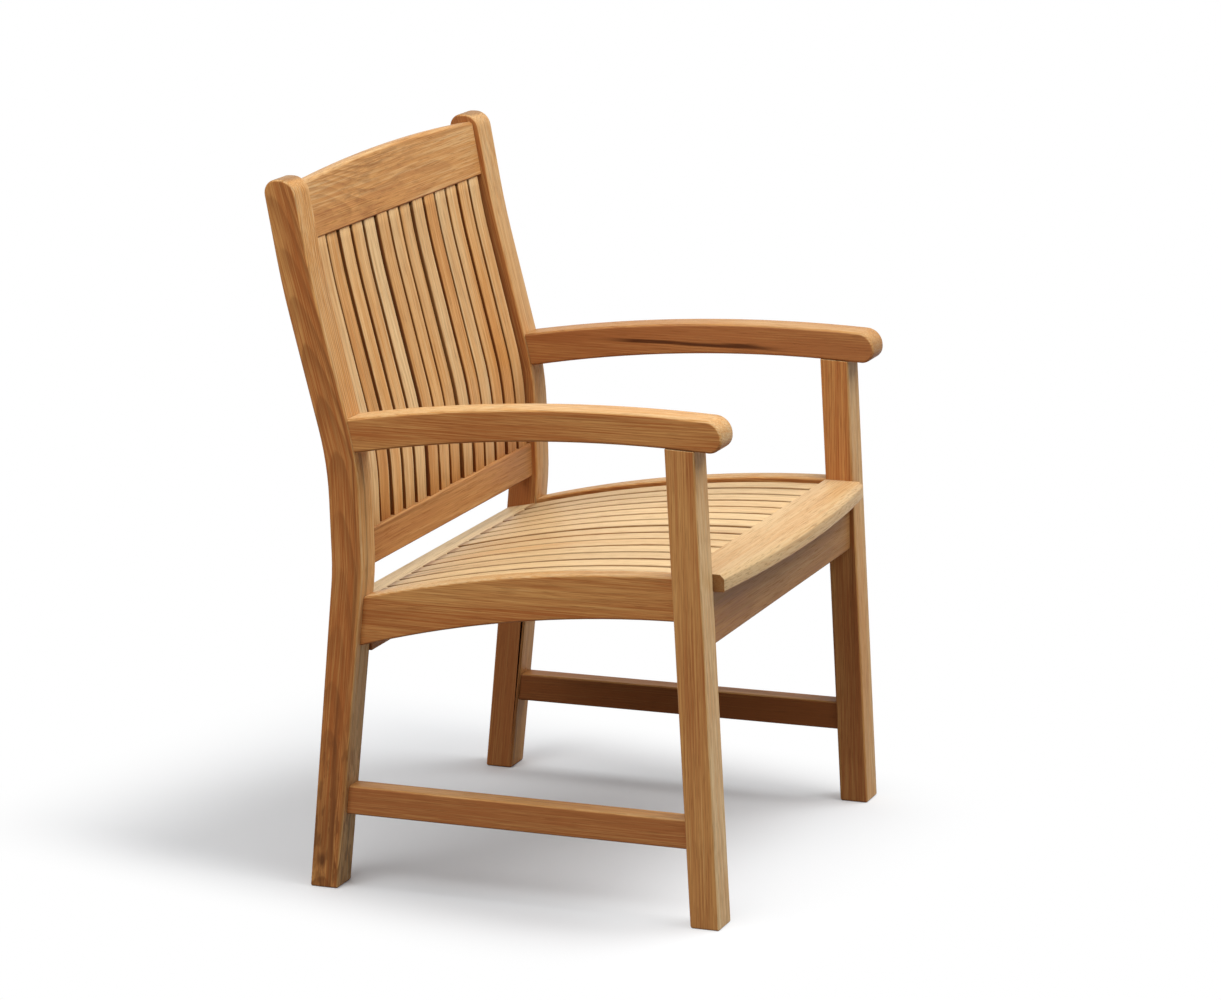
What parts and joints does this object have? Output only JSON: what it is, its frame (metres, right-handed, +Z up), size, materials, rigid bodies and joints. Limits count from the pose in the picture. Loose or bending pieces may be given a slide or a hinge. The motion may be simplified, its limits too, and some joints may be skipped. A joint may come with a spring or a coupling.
{
  "type": "slatted garden armchair",
  "caption": "Teak garden armchair with bent rear posts, arched armrests, a curved slatted seat, and a reclined slatted back under a crowned crest rail.",
  "frame": {"origin": "on the floor, under the middle of the chair's outer box", "axes": "+X to the sitter's left, +Y to the rear, +Z up"},
  "size_m": [0.6, 0.617, 0.941],
  "materials": {
    "teak": "planed and lightly oiled teak, satin, open grain along each piece"
  },
  "bodies": {
    "root": {"armrest_left": "teak", "armrest_right": "teak", "back_slat_01": "teak", "back_slat_02": "teak", "back_slat_03": "teak", "back_slat_04": "teak", "back_slat_05": "teak", "back_slat_06": "teak", "back_slat_07": "teak", "back_slat_08": "teak", "back_slat_09": "teak", "back_slat_10": "teak", "back_slat_11": "teak", "back_slat_12": "teak", "back_slat_13": "teak", "back_slat_14": "teak", "crest_rail": "teak", "front_apron": "teak", "front_leg_left": "teak", "front_leg_right": "teak", "lower_back_rail": "teak", "rear_apron": "teak", "rear_leg_left": "teak", "rear_leg_right": "teak", "seat_bearer": "teak", "seat_front_board": "teak", "seat_rear_board": "teak", "seat_slat_01": "teak", "seat_slat_02": "teak", "seat_slat_03": "teak", "seat_slat_04": "teak", "seat_slat_05": "teak", "seat_slat_06": "teak", "seat_slat_07": "teak", "seat_slat_08": "teak", "seat_slat_09": "teak", "seat_slat_10": "teak", "seat_slat_11": "teak", "seat_slat_12": "teak", "seat_slat_13": "teak", "seat_slat_14": "teak", "side_rail_left": "teak", "side_rail_right": "teak", "side_stretcher_left": "teak", "side_stretcher_right": "teak"}
  },
  "joints": []
}
